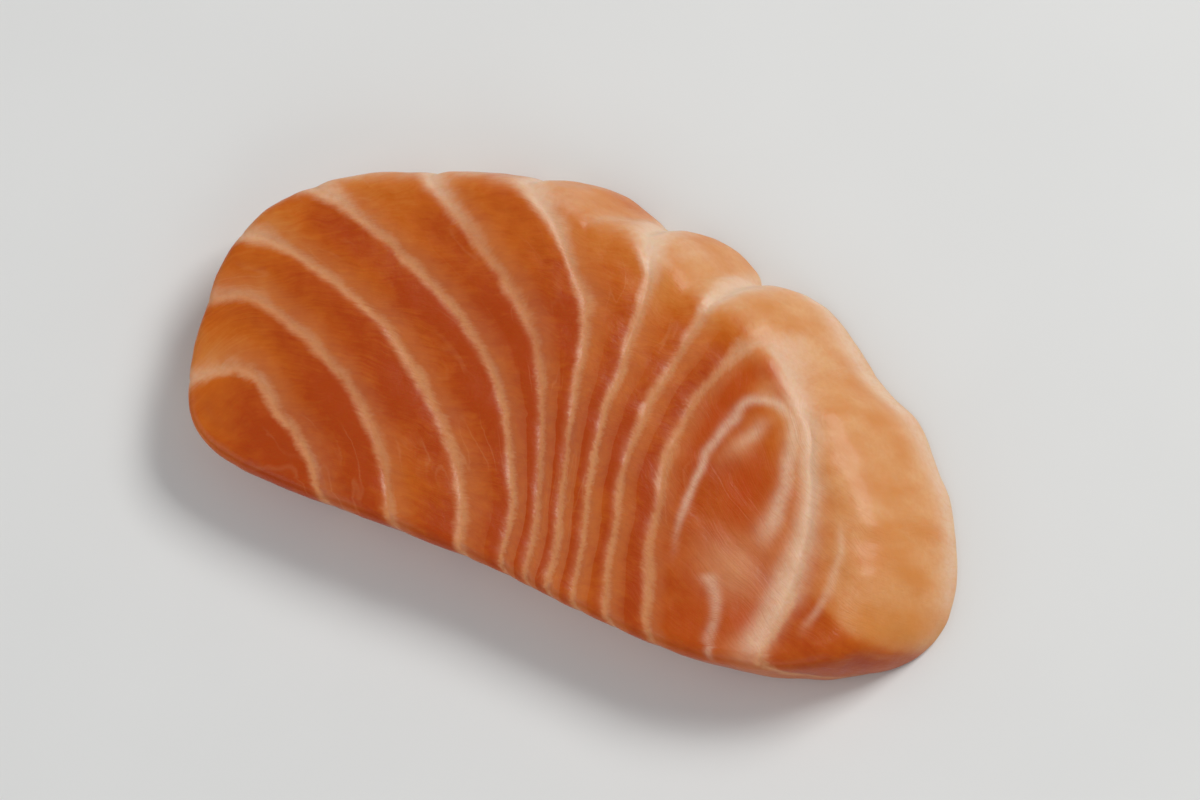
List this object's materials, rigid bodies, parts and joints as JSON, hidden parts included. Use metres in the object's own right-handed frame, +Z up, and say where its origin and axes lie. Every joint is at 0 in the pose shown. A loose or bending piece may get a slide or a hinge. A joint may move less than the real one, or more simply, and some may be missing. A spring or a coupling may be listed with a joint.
{
  "type": "salmon sashimi slice",
  "caption": "Raw salmon slice cut on the slant, arched skin side and straight bone side, lying flat on its lower cut face.",
  "frame": {"origin": "centre of the bottom of the bounding box, on the surface the slice lies on", "axes": "+X along the slice towards its thin end, +Y towards the arched skin side, +Z up out of the shown cut face"},
  "size_m": [0.0764, 0.0424, 0.0086],
  "materials": {
    "salmon_flesh": "raw salmon flesh, moist and slightly translucent, orange with curved pale fat lines"
  },
  "bodies": {
    "root": {"salmon_slice": "salmon_flesh"}
  },
  "joints": []
}
